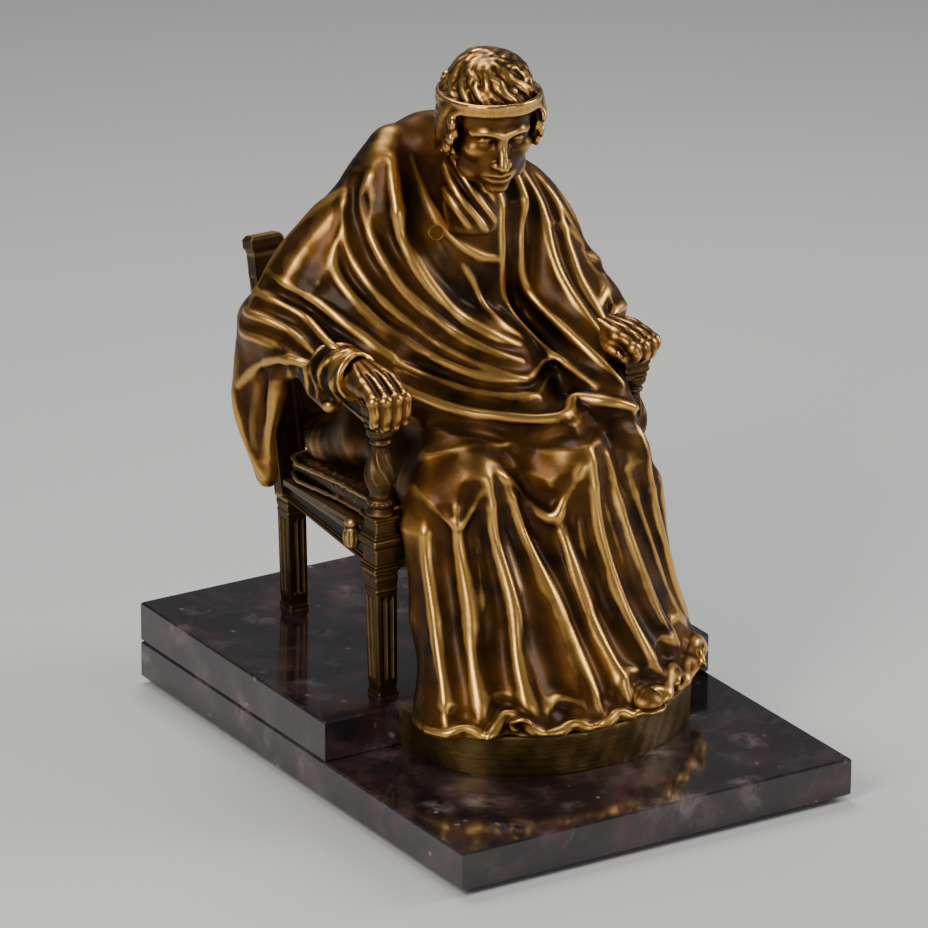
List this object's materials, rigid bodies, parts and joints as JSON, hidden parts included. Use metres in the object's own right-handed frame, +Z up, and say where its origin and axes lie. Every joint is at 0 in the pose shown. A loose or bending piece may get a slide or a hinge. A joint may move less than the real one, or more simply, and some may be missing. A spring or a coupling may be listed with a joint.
{
  "type": "bronze statuette",
  "caption": "Bronze statuette of a robed figure seated on a turned-post armchair, on a two-step polished marble base with felt pads.",
  "frame": {"origin": "centre of the underside of the felt pads, on the surface that the base stands on", "axes": "+Z up; the figure faces -Y; +X to the right as seen from the front"},
  "size_m": [0.226, 0.313, 0.3615],
  "materials": {
    "bronze_figure": "cast bronze, brown patina in the hollows, rubbed golden on the ridges",
    "bronze_chair": "cast bronze, dark brown patina, rubbed edges",
    "bronze_terrace": "cast bronze, filed olive-gold side",
    "marble": "polished dark purple-brown marble with paler clouds",
    "felt": "pressed felt",
    "steel": "plain turned steel"
  },
  "bodies": {
    "root": {"felt_pads": "felt", "lower_slab": "marble", "upper_slab": "marble", "slab_dowels": "steel", "stud_nuts": "steel", "stud_washers": "steel", "leg_studs": "steel", "terrace_studs": "steel", "terrace": "bronze_terrace", "left_shoe": "bronze_figure", "front_leg_right": "bronze_chair", "front_leg_left": "bronze_chair", "rear_leg_right": "bronze_chair", "rear_leg_left": "bronze_chair", "seat_rail_front": "bronze_chair", "seat_rail_rear": "bronze_chair", "seat_rail_right": "bronze_chair", "seat_rail_left": "bronze_chair", "seat_board": "bronze_chair", "seat_cushion": "bronze_chair", "cushion_tassels": "bronze_chair", "seat_screws": "steel", "figure_bolts": "steel", "corner_block_right": "bronze_chair", "corner_block_left": "bronze_chair", "arm_baluster_right": "bronze_chair", "arm_baluster_left": "bronze_chair", "baluster_rods": "steel", "armrest_right": "bronze_chair", "armrest_left": "bronze_chair", "back_post_right": "bronze_chair", "back_post_left": "bronze_chair", "post_cap_right": "bronze_chair", "post_cap_left": "bronze_chair", "back_panel": "bronze_chair", "back_rails": "bronze_chair", "gown_skirt": "bronze_figure", "lap_drapery": "bronze_figure", "mantle_torso": "bronze_figure", "mantle_fall_right": "bronze_figure", "mantle_fall_left": "bronze_figure", "sleeve_right": "bronze_figure", "sleeve_left": "bronze_figure", "cuff_right": "bronze_figure", "hand_right": "bronze_figure", "hand_left": "bronze_figure", "wrist_pins": "steel", "shirt_collar": "bronze_figure", "head": "bronze_figure", "neck_pin": "steel", "chest_plug": "bronze_figure"}
  },
  "joints": []
}
